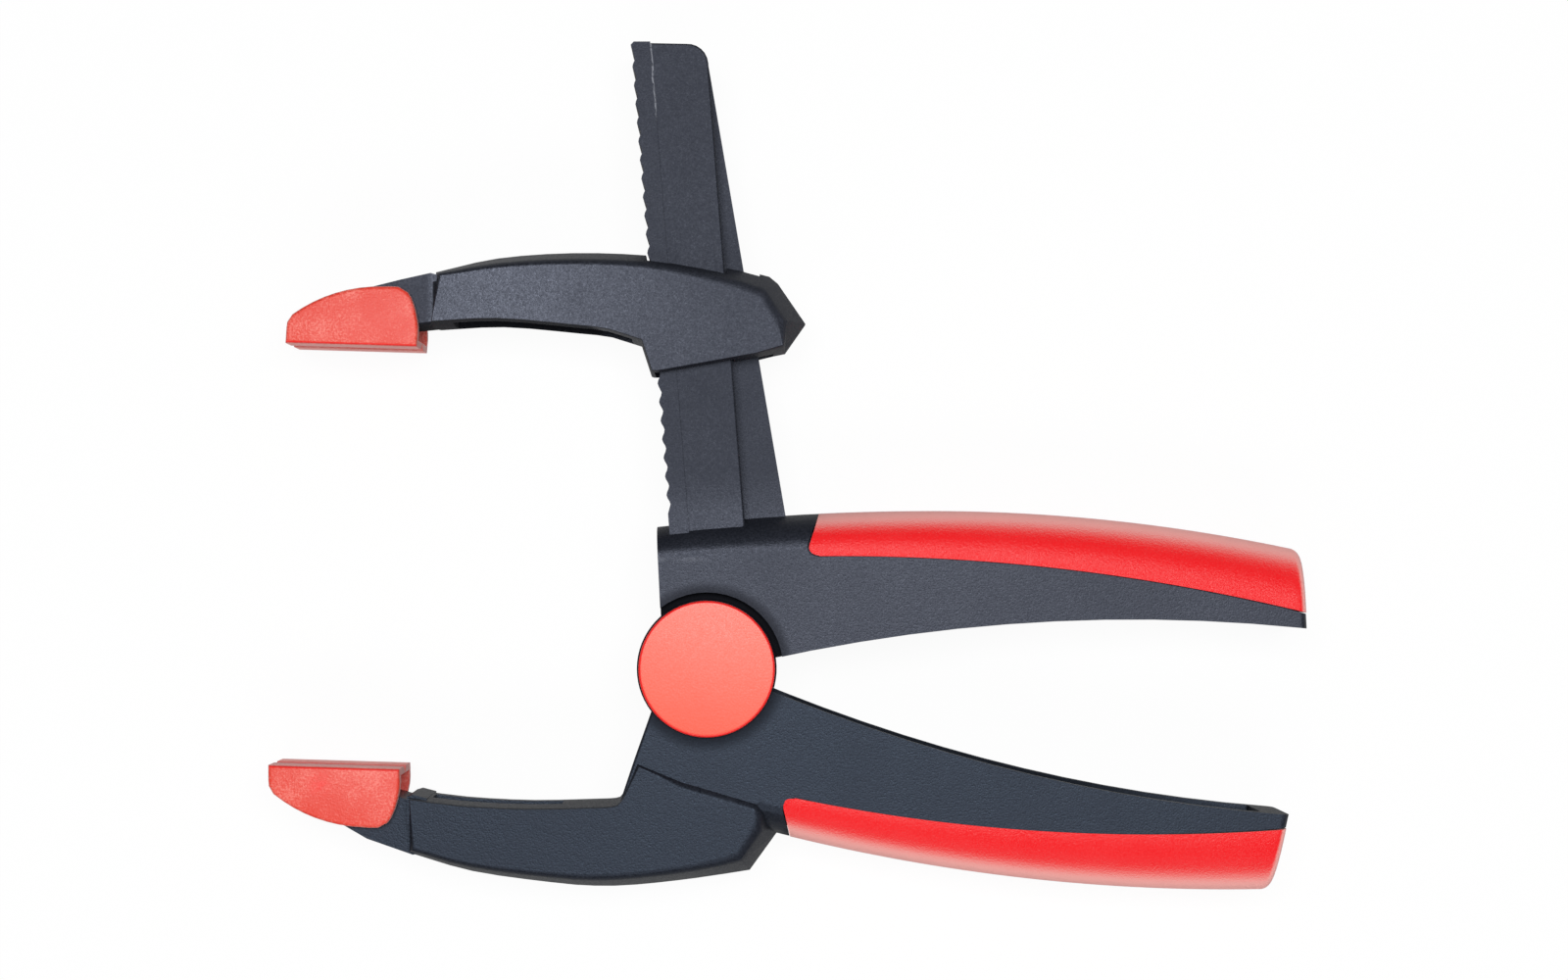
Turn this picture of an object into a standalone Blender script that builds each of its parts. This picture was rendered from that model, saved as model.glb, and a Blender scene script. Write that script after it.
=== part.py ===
"""Spring clamp with a jaw that slides on a toothed rail.

The clamp lies on its rear side. X runs along the handles, Y up the rail and Z through the depth.
The origin is the middle of the rear cap's outer face, so the handles turn about the Z axis.
Dimensions are millimetres, and each mesh is scaled to metres when it is made.
"""

import math

import bmesh
import bpy
import numpy as np

MM = 0.001

# Clearances
FIT = 0.3
RUN = 0.35
SEAM = 0.2
OVERRUN = 2.0

# Depth of the clamp, from front to rear
BODY_DEPTH = 21.0
PLATEAU = 0.7
WALL = 2.8
CAP_THICK = 1.5
HALF = BODY_DEPTH / 2
MID = CAP_THICK + FIT + HALF

# Pivot
BOSS_RADIUS = 11.7
BOSS_EDGE = 0.5
RELIEF_CLEARANCE = 1.1
CAP_RADIUS = 11.4
CAP_ROUND = 0.9
CAP_PLUG_LENGTH = 4.0
CAP_PLUG_CHAMFER = 0.4
TUBE_RADIUS = 4.0
TUBE_BORE = 2.6
CHEEK = 2.6
EAR = 2.3
EAR_RADIUS = 10.0
EAR_RIM = 0.8
EAR_OUT = HALF - CHEEK - FIT
EAR_IN = EAR_OUT - EAR

# Torsion spring
WIRE = 2.6
COIL_PITCH = 2.75
COIL_CLEARANCE = 0.5
SPRING_REACH = 40.0
COIL_ROOM_LEFT = -4.0
COIL_ROOM_TOP = 16.0
COIL_ROOM_CORNER = 3.0
COIL_ROOM_OVERLAP = 4.0
OPEN_TURN = (-12, 190)

# Handles: the back is crowned, and the foot is the open side that faces the other handle
HANDLE_CROWN = (5.0, 9.0)
HANDLE_FLAT = 2.0
HANDLE_CORNER = 1.4
HANDLE_END_ROUND = 2.2
LEAST_ROUND = 0.4
UPPER_START = -8.45
UPPER_END = 100.0
UPPER_BACK = (38.0, 26.5)
UPPER_BACK_BOW = (400.0, 290.0)
UPPER_FOOT = (70.5, 8.25)
UPPER_FOOT_BOW = 282.0
UPPER_LEAN = (1.3, 0.6)
LOWER_START = 6.0
LOWER_END = 94.9
LOWER_BACK = (88.0, -37.55)
LOWER_BACK_BOW = 305.0
LOWER_FOOT = (113.0, -25.1)
LOWER_FOOT_BOW = 245.0
LOWER_LEAN = (0.0, 2.7)
CHANNEL_START = 14.5
SPRING_ROOM_START = 3.0

# Soft grips, sunk into the handles
GRIP_THICK = 1.4
UPPER_GRIP_EDGE = (22.0, 19.0)
UPPER_GRIP_BOW = 320.0
UPPER_NOSE = ((19.6, 27.5), (17.1, 20.9), (16.5, 19.2), (18.7, 18.9))
LOWER_GRIP_EDGE = (73.0, -27.8)
LOWER_GRIP_BOW = 280.0
LOWER_NOSE = ((14.5, -30.0), (12.9, -23.8), (12.7, -21.6), (15.2, -21.8))

# Rail, in its own frame: across the rail, and along it from the pivot
RAIL_TILT = math.radians(4.55)
RAIL_LEFT = -4.45
RAIL_RIGHT = 8.3
RAIL_TOP = 105.55
RAIL_FOOT = 16.0
RAIL_SETBACK = 3.0
RAIL_HALF = HALF - RAIL_SETBACK
RAIL_CORNER = 3.5
RAIL_SOFT = 0.35
RAIL_STEP = 0.12
STRIP_WIDTH = 3.3
STRIP_PROUD = 0.5
STRIP_HALF = RAIL_HALF + STRIP_PROUD
TOOTH_PITCH = 3.134
TOOTH_DEPTH = 0.55
TOOTH_START = 27.95
TOOTH_STEPS = 6
WEB_HALF = 3.0
WEB_TOP = 101.5
WEB_FOOT = 23.0
WEB_WIDTH = 7.1

# Sliding jaw, in the rail's frame, with v measured from its place on the rail
JAW_PLACE = 60.0
JAW_TRAVEL_DOWN = 25.0
JAW_TEETH = 4
JAW_TOOTH_START = -4.0
UPPER_PIVOT = (-52.3, 4.6)

# Rounded and drafted edge of both jaws, whose knots give place and width of the edge
JAW_BAND = 2.1
JAW_TURN = math.radians(73)
JAW_ROUND_SHARE = 0.45
CRISP = 0.5
SLIDER_TOP = ((-40.5, 10.4, 1.7), (-29.9, 11.9, 2.5), (-17.2, 11.8, 2.8), (-4.6, 10.4, 3.0),
              (6.0, 8.1, 3.7), (11.6, 6.6, 4.3), (15.75, 5.15, 4.7))
SLIDER_BEAK = ((15.75, 5.15, 4.7), (17.1, 3.85, 4.7), (21.2, -3.3, 4.8), (17.4, -7.9, 0.9))
SLIDER_UNDER = ((17.4, -7.9, 0.9), (12.4, -8.5, CRISP), (-4.0, -10.1, CRISP),
                (-5.5, -10.0, CRISP), (-6.8, -4.6, CRISP))
SLIDER_ARM = ((-6.8, -4.6, CRISP), (-12.0, -2.5, CRISP), (-18.0, -1.3, CRISP),
              (-30.5, 0.75, CRISP), (-41.7, 1.1, CRISP))
SLIDER_TONGUE = ((-38.0, 8.8), (-41.0, 9.9), (-46.0, 9.2))
SLIDER_TONGUE_TURN = (97, 268)
SLIDER_POCKET = ((-38.0, -15.0), (-8.2, -15.0), (-8.2, 7.3), (-17.2, 8.6), (-29.9, 8.7), (-38.0, 7.6))

# Fixed jaw
LOWER_PIVOT = (-60.5, -22.6)
FIXED_TOP = ((-50.0, -21.3, CRISP), (-41.6, -22.4, CRISP), (-30.0, -23.0, CRISP), (-17.0, -22.7, CRISP))
FIXED_CORNER = (-15.1, -22.4, CRISP)
FIXED_CREASE = ((-3.8, -16.9, 3.2), (9.4, -20.8, 3.2))
FIXED_BEAK = ((9.4, -20.8, 3.2), (11.6, -23.4, 3.7), (11.9, -27.8, 4.5), (7.2, -34.3, 4.1))
FIXED_UNDER = ((7.2, -34.3, 4.1), (-2.0, -35.7, 3.2), (-12.0, -36.8, 3.0), (-19.0, -37.0, 2.8),
               (-26.5, -36.4, 2.6), (-39.8, -34.5, 2.3), (-50.8, -31.3, 2.0))
FIXED_TONGUE = ((-47.4, -31.0), (-47.4, -23.0), (-50.4, -22.0))
FIXED_TONGUE_TURN = (90, 235)
FIXED_TONGUE_HEEL = ((-57.1, -28.6), (-49.4, -31.3))
RIB = ((-50.2, -26.0), (-46.9, -26.0), (-46.9, -21.7), (-49.2, -21.1), (-50.2, -21.4))
RIB_SETBACK = 1.1
POCKET = ((-46.4, -18.0), (-24.5, -18.0), (-24.5, -33.2), (-35.0, -31.9), (-46.4, -28.8))
POCKET_HALF = 3.8
NECK_LEAN = math.radians(71.5)
NECK_FOOT = (-14.15, -21.2)
NECK_EDGE = 1.2
NECK_HEIGHTS = (-26.0, -21.0, -15.0, -7.3)
NECK_ROOT = ((13.0, -20.0), (4.0, -26.0))
NECK_BOSS_END = -19

# Pads, measured from the pin, with the clamping face below it
PAD_SETBACK = 0.5
PAD_HALF = HALF - PAD_SETBACK
PAD_CHEEK = 2.2
PAD_HEEL = 8.9
PAD_HEEL_KNOTS = ((9.0, -2.7), (8.2, 0.9), (7.1, 3.0), (5.6, 3.85))
PAD_TOE = 13.1
PAD_TOE_ROUND = 1.0
PAD_TOE_WALL = 2.5
PAD_SEAT = 6.1
PAD_CROWN = 3.85
PAD_CROWN_X = 3.0
PAD_BASE = 1.8
PAD_BASE_END = 0.9
PAD_CROWN_RADIUS = 24.8
PAD_EDGE = 0.6
PAD_STEP = 1.35
PAD_TILT = math.radians(-1.7)
GROOVE_WIDTH = 4.0
GROOVE_DEPTH = 1.1
PIN_RADIUS = 1.5
PIN_WALL = 0.6
PIN_SOFT = 0.3
TONGUE_RADIUS = 3.5
TONGUE_HALF = PAD_HALF - PAD_CHEEK - FIT

# Facets
ROUND_STEPS = 4
CIRCLE_STEPS = 48
PIN_STEPS = 24
NOSE_STEPS = 12
HANDLE_STATIONS = 14


# Shapes in the plane

def smooth(knots, step=2.2):
    """Catmull-Rom curve through the knots, with a point about every step."""
    points = np.array(knots, float)
    ends = np.vstack([2 * points[0] - points[1], points, 2 * points[-1] - points[-2]])
    curve = []
    for a, b, c, d in zip(ends, ends[1:], ends[2:], ends[3:]):
        count = max(1, round(np.linalg.norm((c - b)[:2]) / step))
        for t in np.arange(count) / count:
            cubic = (3 * b - a - 3 * c + d) * t**3
            curve.append((2 * b + (c - a) * t + (2 * a - 5 * b + 4 * c - d) * t * t + cubic) / 2)
    curve.append(points[-1])
    return np.array(curve)


def eased(start, corner, stop, steps=5):
    """Quadratic curve that rounds off a corner between two places."""
    t = np.arange(steps + 1)[:, None] / steps
    start, corner, stop = (np.array(place, float) for place in (start, corner, stop))
    return (1 - t) ** 2 * start + 2 * t * (1 - t) * corner + t**2 * stop


def joined(*runs):
    """Closed outline from runs that each start where the one before ends."""
    return np.vstack([np.array(run, float)[:-1] for run in runs])


def arc(centre, radius, start, stop, steps):
    """Points on a circle from one angle to another, in degrees."""
    angle = np.radians(np.linspace(start, stop, steps + 1))
    return np.column_stack([centre[0] + radius * np.cos(angle), centre[1] + radius * np.sin(angle)])


def bow(x, apex, radius):
    """Height at x of a shallow arch that is level at its apex."""
    return apex[1] + (x - apex[0]) ** 2 / (2 * radius)


def edged(points, width):
    """The points with one edge width for all of them as a third column."""
    points = np.array(points, float)
    return np.column_stack([points, np.full(len(points), width)])


def tilted(points, tilt=RAIL_TILT):
    """Points of the rail's frame in the clamp's frame."""
    points = np.array(points, float)
    x = points[:, 0] * math.cos(tilt) - points[:, 1] * math.sin(tilt)
    y = points[:, 0] * math.sin(tilt) + points[:, 1] * math.cos(tilt)
    return np.column_stack([x, y, points[:, 2:]])


def mitres(points):
    """Outward direction at each corner, long enough to keep parallel sides parallel."""
    side = np.roll(points, -1, axis=0) - points
    side /= np.linalg.norm(side, axis=1)[:, None]
    out = np.column_stack([side[:, 1], -side[:, 0]])
    area = np.sum(points[:, 0] * np.roll(points[:, 1], -1) - points[:, 1] * np.roll(points[:, 0], -1))
    if area < 0:
        out = -out
    before = np.roll(out, 1, axis=0)
    return (out + before) / (1 + np.sum(out * before, axis=1))[:, None]


# Solids

def loft(name, rings, split=False):
    """Closed body through rings of the same number of points, with flat ends.

    Sides that twist are split into triangles, so that a cut through them stays closed.
    """
    rings = np.array(rings, float)
    count, size = rings.shape[:2]
    faces = [list(range(size)), list(range((count - 1) * size, count * size))]
    for ring in range(count - 1):
        for k in range(size):
            a = ring * size + k
            b = ring * size + (k + 1) % size
            faces.append([a, b, b + size, a + size])
    mesh = bpy.data.meshes.new(name)
    mesh.from_pydata((rings.reshape(-1, 3) * MM).tolist(), [], faces)
    shape = bmesh.new()
    shape.from_mesh(mesh)
    if split:
        bmesh.ops.triangulate(shape, faces=[face for face in shape.faces if len(face.verts) == 4])
    bmesh.ops.recalc_face_normals(shape, faces=shape.faces)
    shape.to_mesh(mesh)
    shape.free()
    body = bpy.data.objects.new(name, mesh)
    bpy.context.scene.collection.objects.link(body)
    return body


def block(name, outline, low, high):
    """Outline extruded from low to high along Z."""
    outline = np.array(outline, float)[:, :2]
    return loft(name, [np.column_stack([outline, np.full(len(outline), z)]) for z in (low, high)])


def quarter_round(depth):
    """Edge profile as a quarter of an ellipse: share of the edge's width, and drop below the face."""
    turn = np.linspace(0, math.pi / 2, ROUND_STEPS + 1)
    return [(1 - math.sin(a), depth * (1 - math.cos(a))) for a in turn]


def drafted_round(half):
    """Edge profile of the jaws: an arc, then a straight drafted side down to the middle band."""
    turn = np.linspace(0, JAW_TURN, ROUND_STEPS)
    slope = math.sin(JAW_TURN) ** 2 / (JAW_ROUND_SHARE * math.cos(JAW_TURN))
    radius = (half - JAW_BAND) / (1 - math.cos(JAW_TURN) + slope * (1 - JAW_ROUND_SHARE))
    levels = [(1 - JAW_ROUND_SHARE * math.sin(a) / math.sin(JAW_TURN), radius * (1 - math.cos(a)))
              for a in turn]
    return levels + [(0.0, half - JAW_BAND)]


def rounded_plate(name, outline, half, profile, mid):
    """Plate about its middle plane, with each face carried into the rim by an edge profile.

    The third column of the outline is how far the edge reaches in from the rim there.
    """
    outline = np.array(outline, float)
    out = mitres(outline[:, :2])
    levels = [(share, half - drop) for share, drop in profile]
    levels += [(share, -z) for share, z in reversed(levels)]
    rings = []
    for share, z in levels:
        flat = outline[:, :2] - out * (outline[:, 2:] * share)
        rings.append(np.column_stack([flat, np.full(len(flat), mid + z)]))
    return loft(name, rings, split=True)


def disc(name, centre, radius, low, high, steps=CIRCLE_STEPS):
    """Plain round disc or bore."""
    return block(name, arc(centre, radius, 0, 360, steps)[:-1], low, high)


def turned(name, profile, steps=CIRCLE_STEPS):
    """Profile of radius and height, spun about the Z axis."""
    shape = bmesh.new()
    points = [shape.verts.new((radius * MM, 0, z * MM)) for radius, z in profile]
    sides = [shape.edges.new(pair) for pair in zip(points, points[1:] + points[:1])]
    bmesh.ops.spin(shape, geom=points + sides, axis=(0, 0, 1), cent=(0, 0, 0),
                   angle=2 * math.pi, steps=steps, use_merge=True)
    bmesh.ops.remove_doubles(shape, verts=shape.verts, dist=1e-7)
    bmesh.ops.recalc_face_normals(shape, faces=shape.faces)
    mesh = bpy.data.meshes.new(name)
    shape.to_mesh(mesh)
    shape.free()
    body = bpy.data.objects.new(name, mesh)
    bpy.context.scene.collection.objects.link(body)
    return body


def combine(body, tool, operation):
    """Boolean of the body with a tool, which is used up."""
    step = body.modifiers.new(operation, "BOOLEAN")
    step.operation = operation
    step.solver = "EXACT"
    step.object = tool
    graph = bpy.context.evaluated_depsgraph_get()
    result = bpy.data.meshes.new_from_object(body.evaluated_get(graph))
    body.modifiers.clear()
    body.data = result
    bpy.data.objects.remove(tool)


def join(body, *tools):
    for tool in tools:
        combine(body, tool, "UNION")


def cut(body, *tools):
    for tool in tools:
        combine(body, tool, "DIFFERENCE")


def keep(body, tool):
    combine(body, tool, "INTERSECT")


# Handles

def section(foot, back, half, crown):
    """Ring across a handle: straight sides from the foot, and an elliptic crown over the back."""
    rise = np.subtract(back, foot)
    height = np.linalg.norm(rise)
    crown = min(crown, height * 0.95)
    turn = np.linspace(0, math.pi / 2, ROUND_STEPS + 2)
    z = HANDLE_FLAT + (half - HANDLE_FLAT) * np.cos(turn)
    up = height - crown + crown * np.sin(turn)
    z = np.concatenate([[half], z, -z[::-1], [-half]])
    up = np.concatenate([[0], up, up[::-1], [0]]) / height
    return np.column_stack([foot[0] + rise[0] * up, foot[1] + rise[1] * up, MID + z])


def handle(name, lines, start, inset=0.0, side=None, deepen=0.0):
    """Solid form of a handle, or of what lies inset within it.

    The side inset is the same unless it is given, and deepen carries the foot past its edge.
    """
    up, first, end, back, foot, lean = lines
    side = inset if side is None else side
    corner = max(HANDLE_CORNER - inset, LEAST_ROUND)
    end_round = max(HANDLE_END_ROUND - inset, LEAST_ROUND)
    end = end - inset
    turn = np.linspace(0, math.pi / 2, ROUND_STEPS)[1:]
    stations = [(x, 0.0, 0.0) for x in np.linspace(start, end - corner, HANDLE_STATIONS)]
    stations += [(end - corner + corner * math.sin(a), corner * (1 - math.cos(a)),
                  end_round * (1 - math.cos(a))) for a in turn]
    rings = []
    for x, drop, narrow in stations:
        share = (x - first) / (end - first)
        shift = lean[0] + (lean[1] - lean[0]) * share
        crown = HANDLE_CROWN[0] + (HANDLE_CROWN[1] - HANDLE_CROWN[0]) * share
        head = (x, back(x) - up * (inset + drop))
        base = (x + shift, foot(x) - up * deepen)
        rings.append(section(base, head, HALF - side - narrow, max(crown - inset, LEAST_ROUND)))
    return loft(name, rings)


def upper_back(x):
    radius = UPPER_BACK_BOW[0] if x < UPPER_BACK[0] else UPPER_BACK_BOW[1]
    return bow(x, UPPER_BACK, -radius)


def upper_foot(x):
    return bow(x, UPPER_FOOT, -UPPER_FOOT_BOW)


def lower_back(x):
    return bow(x, LOWER_BACK, LOWER_BACK_BOW)


def lower_foot(x):
    return bow(x, LOWER_FOOT, LOWER_FOOT_BOW)


UPPER_LINES = (1, UPPER_START, UPPER_END, upper_back, upper_foot, UPPER_LEAN)
LOWER_LINES = (-1, LOWER_START, LOWER_END, lower_back, lower_foot, LOWER_LEAN)


def grip_region(name, lines, nose, edge, radius, grow):
    """Everything beyond the grip's edge line and nose, grown by a small margin."""
    up, end = lines[0], lines[2]
    far = end + 2 * HANDLE_CORNER
    xs = np.linspace(nose[3][0] + 4, far, 12)
    line = [(x, bow(x, edge, radius) - up * grow) for x in xs]
    top = max(abs(nose[0][1]), abs(edge[1])) + HALF
    tip = np.array(nose) - [(grow, 0), (grow, 0), (grow, up * grow), (0, up * grow)]
    front = eased(*tip[1:]).tolist()
    outline = [(tip[0][0], up * top), tuple(tip[0])] + front + line + [(far, up * top)]
    return block(name, outline, -HALF, 2 * MID + HALF)


def grip(name, lines, nose, edge, radius, start):
    """Soft cover: the outer millimetre or so of the handle, beyond the edge line."""
    cover = handle(name, lines, start)
    keep(cover, grip_region("region", lines, nose, edge, radius, 0.0))
    cut(cover, handle("core", lines, start - OVERRUN, GRIP_THICK, deepen=HALF))
    return cover


def sink_grip(body, lines, nose, edge, radius, start):
    """Cuts the seat of the soft cover into the handle, a fit deeper than the cover."""
    seat = grip_region("seat", lines, nose, edge, radius, SEAM)
    cut(seat, handle("core", lines, start - OVERRUN, GRIP_THICK + FIT, deepen=HALF))
    cut(body, seat)


# Upper body: handle and rail in one

def tooth_line(count, first, valley, crest):
    """Wavy edge along the rail as a cosine, from one valley to another, count teeth away."""
    along = np.arange(count * TOOTH_STEPS + 1) / TOOTH_STEPS
    across = (valley + crest) / 2 + (valley - crest) / 2 * np.cos(2 * math.pi * along)
    return np.column_stack([across, first + along * TOOTH_PITCH])


def web_edge(along):
    """How far across the rail its web reaches at a height along it."""
    return RAIL_RIGHT + (WEB_TOP - along) / (WEB_TOP - WEB_FOOT) * WEB_WIDTH


def rail_top(across):
    """The rail's end is cut level, although the rail leans."""
    return RAIL_TOP - across * math.tan(RAIL_TILT)


def rail_parts():
    """The plate, the toothed strip that stands proud on its edge, and the thin web behind it."""
    root = RAIL_LEFT + TOOTH_DEPTH
    inner = RAIL_LEFT + STRIP_WIDTH
    middle = (RAIL_LEFT + inner) / 2
    tip = rail_top(RAIL_LEFT) - TOOTH_DEPTH
    teeth = math.floor((tip - TOOTH_START) / TOOTH_PITCH)
    corner = arc((RAIL_RIGHT - RAIL_CORNER, rail_top(RAIL_RIGHT) - RAIL_CORNER), RAIL_CORNER, 0, 90, 6)
    plate = [(middle, RAIL_FOOT), (RAIL_RIGHT, RAIL_FOOT), *corner.tolist(),
             (middle, rail_top(middle) - RAIL_STEP)]
    strip = [(inner, RAIL_FOOT), (inner, rail_top(inner)), (root, rail_top(root)),
             (RAIL_LEFT, tip), *tooth_line(teeth, TOOTH_START, root, RAIL_LEFT)[::-1].tolist(),
             (RAIL_LEFT, TOOTH_START - TOOTH_PITCH / 2), (RAIL_LEFT, RAIL_FOOT)]
    web = [(RAIL_RIGHT - 1, RAIL_FOOT), (web_edge(RAIL_FOOT), RAIL_FOOT),
           (RAIL_RIGHT, WEB_TOP), (RAIL_RIGHT - 1, WEB_TOP)]
    return (
        rounded_plate("plate", edged(tilted(plate), RAIL_SOFT), RAIL_HALF, quarter_round(RAIL_SOFT), MID),
        block("strip", tilted(strip), MID - STRIP_HALF, MID + STRIP_HALF),
        block("web", tilted(web), MID - WEB_HALF, MID + WEB_HALF),
    )


def upper_body():
    body = handle("upper_body", UPPER_LINES, UPPER_START)
    join(body, disc("ears", (0, 0), EAR_RADIUS, MID - EAR_OUT, MID + EAR_OUT))
    relief = BOSS_RADIUS + RELIEF_CLEARANCE
    for side in (-1, 1):
        faces = sorted((MID + side * EAR_OUT, MID + side * 2 * HALF))
        cut(body, disc("relief", (0, 0), relief, *faces))
    sink_grip(body, UPPER_LINES, UPPER_NOSE, UPPER_GRIP_EDGE, -UPPER_GRIP_BOW, UPPER_START)
    cut(body, handle("channel", UPPER_LINES, CHANNEL_START, WALL, deepen=HALF))
    right = CHANNEL_START + COIL_ROOM_OVERLAP
    room = [(COIL_ROOM_LEFT, -BOSS_RADIUS), (right, -BOSS_RADIUS), (right, COIL_ROOM_TOP),
            (COIL_ROOM_LEFT + COIL_ROOM_CORNER, COIL_ROOM_TOP),
            (COIL_ROOM_LEFT, COIL_ROOM_TOP - COIL_ROOM_CORNER)]
    cut(body, block("coil room", room, MID - EAR_IN, MID + EAR_IN))
    cut(body, disc("coil bore", (0, 0), EAR_RADIUS - EAR_RIM, MID - EAR_IN, MID + EAR_IN))
    join(body, *rail_parts())
    cut(body, disc("pivot bore", (0, 0), TUBE_RADIUS + FIT, -HALF, 2 * MID + HALF))
    return body


# Lower body: fixed jaw, neck and handle in one

def neck_at(y):
    """Place at height y on the neck's straight front edge."""
    return (NECK_FOOT[0] + (y - NECK_FOOT[1]) / math.tan(NECK_LEAN), y)


def jaw_rim():
    """Outer edge of the raised jaw, with the width of its edge."""
    low, high = NECK_HEIGHTS[1:3]
    corner = [FIXED_TOP[-1], FIXED_CORNER, (*neck_at(low), CRISP)]
    neck = [corner[-1], (*neck_at(high), NECK_EDGE)]
    crease = [neck[-1], *FIXED_CREASE]
    seam = [FIXED_UNDER[-1], FIXED_TOP[0]]
    return joined(smooth(FIXED_TOP, 4), smooth(corner, 0.8), neck, crease, FIXED_BEAK,
                  smooth(FIXED_UNDER, 4), seam)


def neck_outline():
    """Cheek of the pivot with the neck that carries it down to the jaw and the handle."""
    root, high, brow = NECK_HEIGHTS[0], NECK_HEIGHTS[2], NECK_HEIGHTS[3]
    left = math.degrees(math.atan2(*neck_at(brow)[::-1]))
    boss = arc((0, 0), BOSS_RADIUS, left + 360, NECK_BOSS_END, CIRCLE_STEPS - 4)
    heel = NECK_ROOT[0][0]
    return [neck_at(root), neck_at(high), *boss.tolist(), (heel, lower_foot(heel)), *NECK_ROOT]


def fixed_tongue():
    """Narrow end of the fixed jaw, on which the pad swivels."""
    nose = arc(LOWER_PIVOT, TONGUE_RADIUS, *FIXED_TONGUE_TURN, NOSE_STEPS)
    outline = [*FIXED_TONGUE, *nose.tolist(), *FIXED_TONGUE_HEEL]
    return block("tongue", outline, MID - TONGUE_HALF, MID + TONGUE_HALF)


def lower_body():
    half = HALF + PLATEAU
    body = rounded_plate("lower_body", jaw_rim(), half, drafted_round(half), MID)
    join(body, rounded_plate("neck", edged(neck_outline(), BOSS_EDGE), HALF, quarter_round(BOSS_EDGE), MID))
    join(body, handle("handle", LOWER_LINES, LOWER_START), fixed_tongue())
    rib_half = HALF - RIB_SETBACK
    join(body, block("rib", RIB, MID - rib_half, MID + rib_half))
    sink_grip(body, LOWER_LINES, LOWER_NOSE, LOWER_GRIP_EDGE, LOWER_GRIP_BOW, LOWER_START)
    cut(body, handle("channel", LOWER_LINES, SPRING_ROOM_START, WALL, deepen=2 * HALF))
    room = HALF - CHEEK
    cut(body, disc("ear room", (0, 0), EAR_RADIUS + 2 * FIT, MID - room, MID + room))
    above = [(0.0, 0.0), *arc((0, 0), BOSS_RADIUS + OVERRUN, *OPEN_TURN, PIN_STEPS).tolist()]
    cut(body, block("open top", above, MID - room, MID + room))
    cut(body, block("pocket", POCKET, MID - POCKET_HALF, MID + POCKET_HALF))
    cut(body, disc("pivot bore", (0, 0), TUBE_RADIUS + FIT, -HALF, 2 * MID + HALF))
    cut(body, disc("pin bore", LOWER_PIVOT, PIN_RADIUS + FIT, -HALF, 2 * MID + HALF, PIN_STEPS))
    return body


# Sliding jaw

def slider_rim():
    """Outer edge of the sliding jaw, with the width of its edge."""
    seam = [SLIDER_ARM[-1], SLIDER_TOP[0]]
    return joined(smooth(SLIDER_TOP, 4), SLIDER_BEAK, SLIDER_UNDER, smooth(SLIDER_ARM, 4), seam)


def slider_slot():
    """Cutter for the rail's plate, its proud strip and its web, with running clearance.

    Its own teeth face the valleys between the rail's.
    """
    left = RAIL_LEFT - RUN
    inner = RAIL_LEFT + STRIP_WIDTH + RUN
    middle = (left + inner) / 2
    right = RAIL_RIGHT + RUN
    top = max(knot[1] for knot in SLIDER_TOP) + OVERRUN
    place = math.ceil((JAW_PLACE + JAW_TOOTH_START - TOOTH_START) / TOOTH_PITCH)
    first = TOOTH_START + place * TOOTH_PITCH - JAW_PLACE
    wave = tooth_line(JAW_TEETH, first, left, left - TOOTH_DEPTH)
    strip = [(left, -top), *wave.tolist(), (left, top), (inner, top), (inner, -top)]
    plate = [(middle, -top), (middle, top), (right, top), (right, -top)]
    low = JAW_PLACE - JAW_TRAVEL_DOWN
    web = [(middle, -top), (middle, top), (web_edge(low + top) + RUN, top),
           (web_edge(low - top) + RUN, -top)]
    slot = block("slot", plate, -RAIL_HALF - RUN, RAIL_HALF + RUN)
    join(slot, block("strip slot", strip, -STRIP_HALF - RUN, STRIP_HALF + RUN),
         block("web slot", web, -WEB_HALF - RUN, WEB_HALF + RUN))
    return slot


def sliding_jaw():
    half = HALF + PLATEAU
    body = rounded_plate("sliding_jaw", slider_rim(), half, drafted_round(half), 0.0)
    nose = arc(UPPER_PIVOT, TONGUE_RADIUS, *SLIDER_TONGUE_TURN, NOSE_STEPS)
    root = (SLIDER_TONGUE[0][0], SLIDER_ARM[-1][1] + FIT)
    join(body, block("tongue", [*SLIDER_TONGUE, *nose.tolist(), root], -TONGUE_HALF, TONGUE_HALF))
    cut(body, block("pocket", SLIDER_POCKET, -TONGUE_HALF, TONGUE_HALF))
    cut(body, slider_slot())
    cut(body, disc("pin bore", UPPER_PIVOT, PIN_RADIUS + FIT, -half, half, PIN_STEPS))
    return body


# Pads and small pieces

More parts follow.
